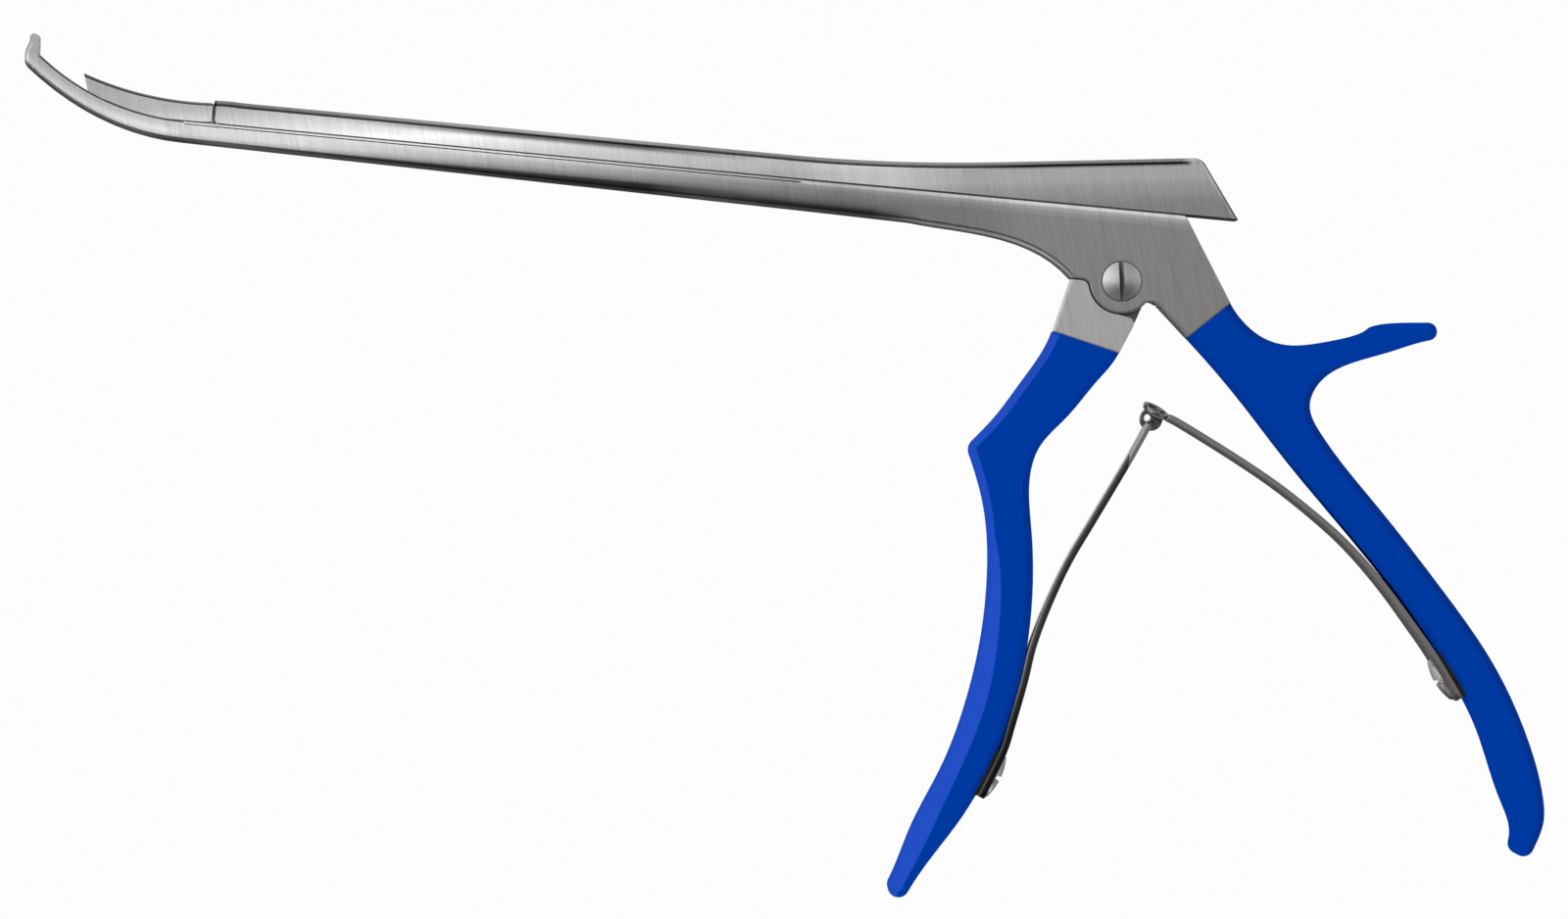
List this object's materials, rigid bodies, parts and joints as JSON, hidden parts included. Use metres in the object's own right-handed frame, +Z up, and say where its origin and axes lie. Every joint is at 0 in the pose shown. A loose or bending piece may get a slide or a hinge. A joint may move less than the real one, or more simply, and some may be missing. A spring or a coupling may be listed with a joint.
{
  "type": "bone rongeur",
  "caption": "Bone rongeur with a curved-up tip: squeezing the blue handles slides the top bar forward and closes its cutter on the foot.",
  "frame": {"origin": "on the ground plane under the middle of the instrument's bounding box, with the instrument standing on both handle ends", "axes": "+X from the tip back to the handles, +Y across the instrument, away from the pivot screw's slotted head, +Z up"},
  "size_m": [0.2432, 0.0092, 0.1523],
  "materials": {
    "steel_satin": "satin brushed stainless steel, strokes across the shaft",
    "steel_bright": "polished stainless steel",
    "steel_spring": "darker ground spring steel",
    "blue_coating": "matte blue polymer coating"
  },
  "bodies": {
    "frame_body": {"frame": "steel_satin", "rear_grip": "blue_coating", "pivot_screw": "steel_bright", "rear_spring_screw": "steel_bright"},
    "trigger_body": {"trigger": "steel_satin", "front_grip": "blue_coating", "front_spring_screw": "steel_bright"},
    "slide_body": {"slide": "steel_satin"},
    "cutter_body": {"cutter": "steel_satin"},
    "front_spring_body": {"front_leaf_spring": "steel_spring", "spring_ball": "steel_bright"},
    "rear_spring_body": {"rear_leaf_spring": "steel_spring"}
  },
  "joints": [
    {"name": "trigger_pivot", "type": "hinge", "parent": "frame_body", "child": "trigger_body", "pos_m": [0.05748, 0.0003, 0.09934], "axis": [0, -1, 0], "range_deg": [0, 32.8], "stiffness_Nm_per_rad": 2, "springref_deg": -14.32},
    {"name": "slide_travel", "type": "slide", "parent": "frame_body", "child": "slide_body", "axis": [-0.9872, 0, 0.1592], "range_m": [0, 0.0096]},
    {"name": "cutter_turn", "type": "hinge", "parent": "frame_body", "child": "cutter_body", "pos_m": [-0.08935, 0.0003, 0.17559], "axis": [0, 1, 0], "range_deg": [0, 14.59]},
    {"name": "front_spring_flex", "type": "hinge", "parent": "trigger_body", "child": "front_spring_body", "pos_m": [0.03778, 0.0003, 0.0387], "axis": [0, -1, 0], "range_deg": [0, 10.08], "deforming": ["front_leaf_spring"]},
    {"name": "rear_spring_flex", "type": "hinge", "parent": "frame_body", "child": "rear_spring_body", "pos_m": [0.09431, 0.0003, 0.05136], "axis": [0, 1, 0], "range_deg": [0, 8.8], "deforming": ["rear_leaf_spring"]}
  ],
  "couplings": [
    {"joint": "slide_travel", "follows": "trigger_pivot", "m_per_rad": 0.016769},
    {"joint": "cutter_turn", "follows": "trigger_pivot", "ratio": 0.44466},
    {"joint": "front_spring_flex", "follows": "trigger_pivot", "ratio": 0.3073},
    {"joint": "rear_spring_flex", "follows": "trigger_pivot", "ratio": 0.2682}
  ]
}
